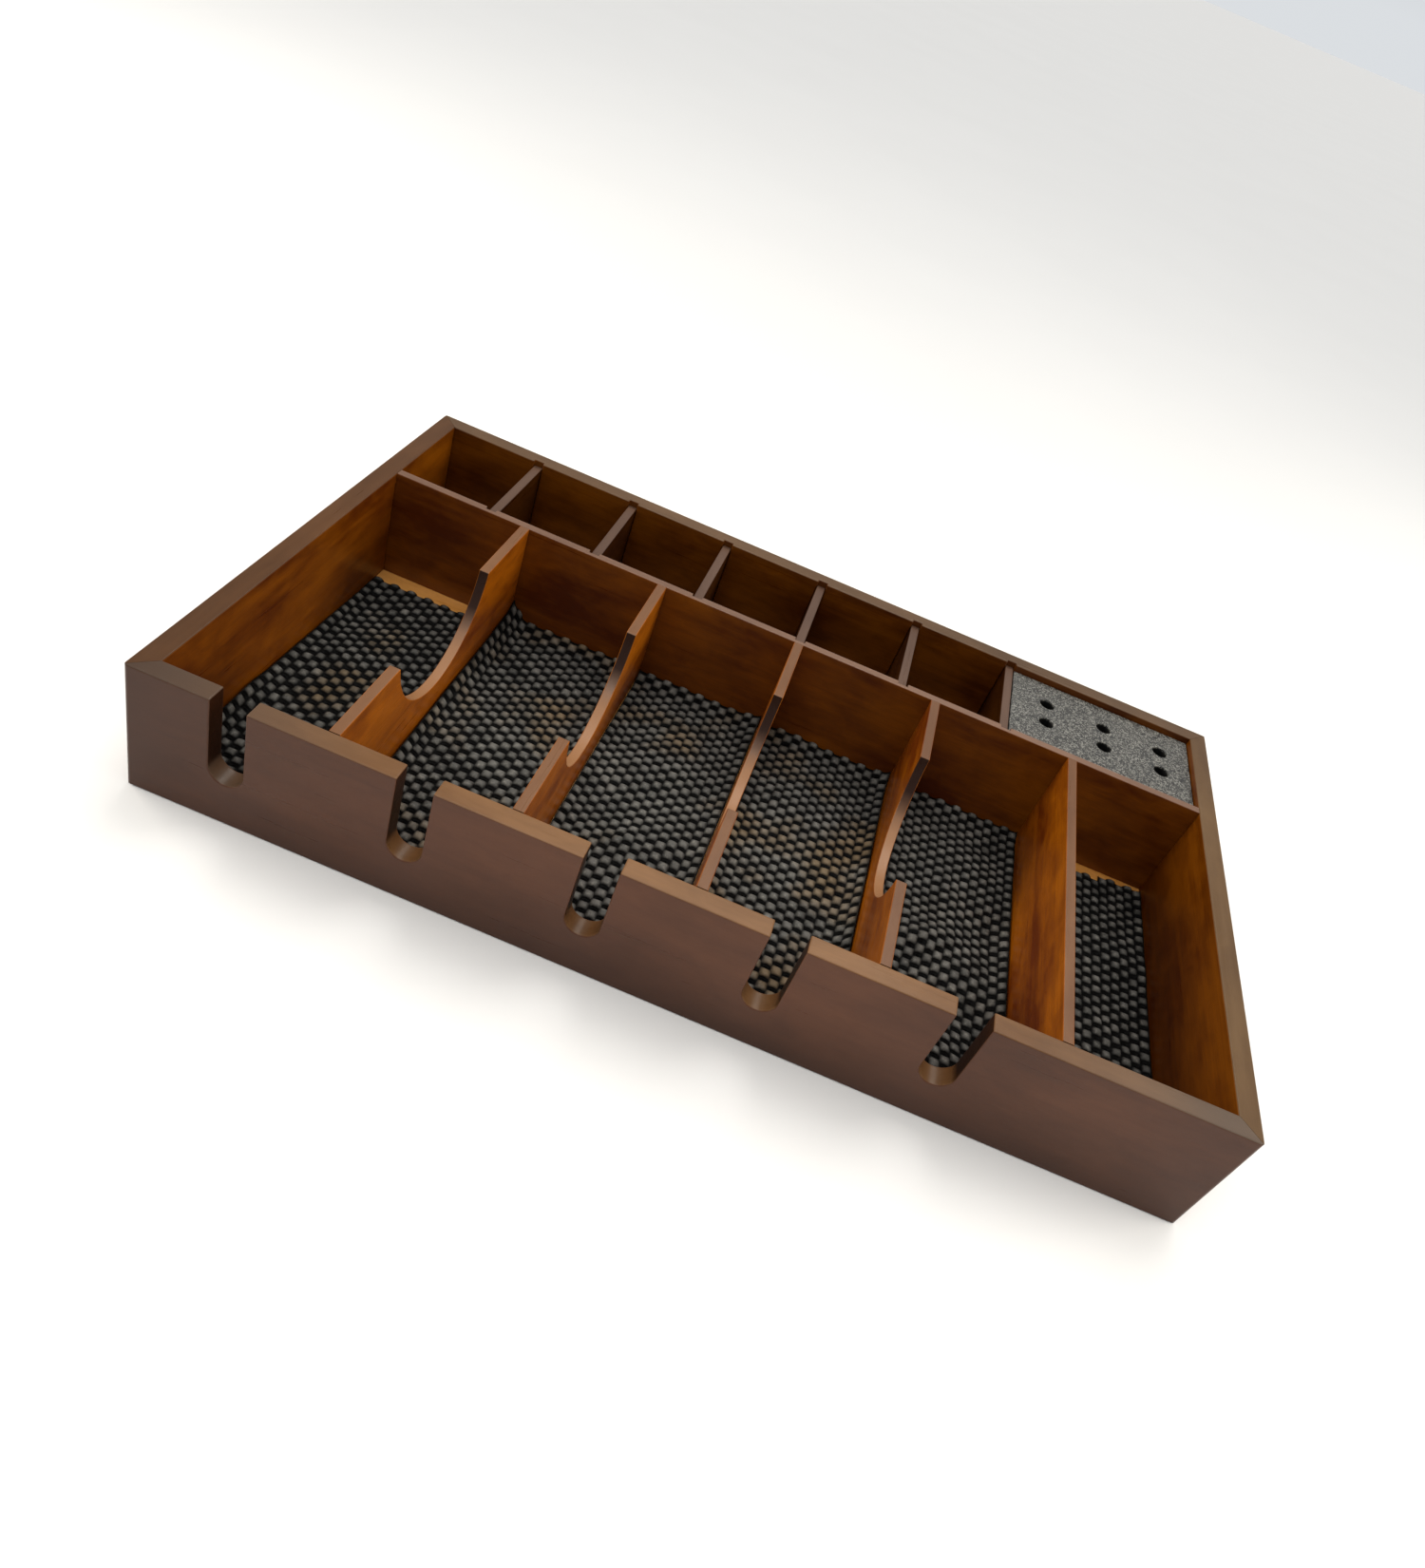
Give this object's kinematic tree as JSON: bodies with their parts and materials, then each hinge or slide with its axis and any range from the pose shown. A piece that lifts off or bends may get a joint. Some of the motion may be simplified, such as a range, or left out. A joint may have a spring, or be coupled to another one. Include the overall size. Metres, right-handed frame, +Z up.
{
  "type": "drawer organizer insert",
  "caption": "Stained wooden tray with long lined compartments, small rear bins, scooped dividers, cord notches and a perforated speckled holder plate.",
  "frame": {"origin": "centre of the underside, on the surface that the tray stands on", "axes": "+X along the long front from left to right, +Y from the notched front wall to the back wall, +Z up"},
  "size_m": [0.6, 0.365, 0.08],
  "materials": {
    "stained_wall_wood": "satin brown stain over close-grained wood",
    "stained_board_wood": "satin orange-brown stain, fine straight grain",
    "base_wood": "light brown thin sheet, satin",
    "speckled_stone": "fine grey, black and white speckle, honed",
    "liner_foam": "black foamed mesh with a soft gloss"
  },
  "bodies": {
    "tray": {"front_wall": "stained_wall_wood", "back_wall": "stained_wall_wood", "left_wall": "stained_wall_wood", "right_wall": "stained_wall_wood", "base_panel": "base_wood", "cross_divider": "stained_board_wood", "front_divider_1": "stained_board_wood", "front_divider_2": "stained_board_wood", "front_divider_3": "stained_board_wood", "front_divider_4": "stained_board_wood", "front_divider_5": "stained_board_wood", "plate_cleat_front": "stained_board_wood", "plate_cleat_back": "stained_board_wood"},
    "holder_plate": {"holder_plate": "speckled_stone"},
    "rear_divider_1": {"rear_divider_1": "stained_board_wood"},
    "rear_divider_2": {"rear_divider_2": "stained_board_wood"},
    "rear_divider_3": {"rear_divider_3": "stained_board_wood"},
    "rear_divider_4": {"rear_divider_4": "stained_board_wood"},
    "rear_divider_5": {"rear_divider_5": "stained_board_wood"},
    "rear_divider_6": {"rear_divider_6": "stained_board_wood"},
    "liner_1": {"liner_1": "liner_foam"},
    "liner_2": {"liner_2": "liner_foam"},
    "liner_3": {"liner_3": "liner_foam"},
    "liner_4": {"liner_4": "liner_foam"},
    "liner_5": {"liner_5": "liner_foam"},
    "liner_6": {"liner_6": "liner_foam"}
  },
  "joints": [
    {"name": "holder_plate_lift", "type": "slide", "parent": "tray", "child": "holder_plate", "axis": [0, 0, 1], "range_m": [0, 0.04]},
    {"name": "rear_divider_1_lift", "type": "slide", "parent": "tray", "child": "rear_divider_1", "axis": [0, 0, 1], "range_m": [0, 0.09]},
    {"name": "rear_divider_2_lift", "type": "slide", "parent": "tray", "child": "rear_divider_2", "axis": [0, 0, 1], "range_m": [0, 0.09]},
    {"name": "rear_divider_3_lift", "type": "slide", "parent": "tray", "child": "rear_divider_3", "axis": [0, 0, 1], "range_m": [0, 0.09]},
    {"name": "rear_divider_4_lift", "type": "slide", "parent": "tray", "child": "rear_divider_4", "axis": [0, 0, 1], "range_m": [0, 0.09]},
    {"name": "rear_divider_5_lift", "type": "slide", "parent": "tray", "child": "rear_divider_5", "axis": [0, 0, 1], "range_m": [0, 0.09]},
    {"name": "rear_divider_6_lift", "type": "slide", "parent": "tray", "child": "rear_divider_6", "axis": [0, 0, 1], "range_m": [0, 0.09]},
    {"name": "liner_1_lift", "type": "slide", "parent": "tray", "child": "liner_1", "axis": [0, 0, 1], "range_m": [0, 0.1]},
    {"name": "liner_2_lift", "type": "slide", "parent": "tray", "child": "liner_2", "axis": [0, 0, 1], "range_m": [0, 0.1]},
    {"name": "liner_3_lift", "type": "slide", "parent": "tray", "child": "liner_3", "axis": [0, 0, 1], "range_m": [0, 0.1]},
    {"name": "liner_4_lift", "type": "slide", "parent": "tray", "child": "liner_4", "axis": [0, 0, 1], "range_m": [0, 0.1]},
    {"name": "liner_5_lift", "type": "slide", "parent": "tray", "child": "liner_5", "axis": [0, 0, 1], "range_m": [0, 0.1]},
    {"name": "liner_6_lift", "type": "slide", "parent": "tray", "child": "liner_6", "axis": [0, 0, 1], "range_m": [0, 0.1]}
  ]
}
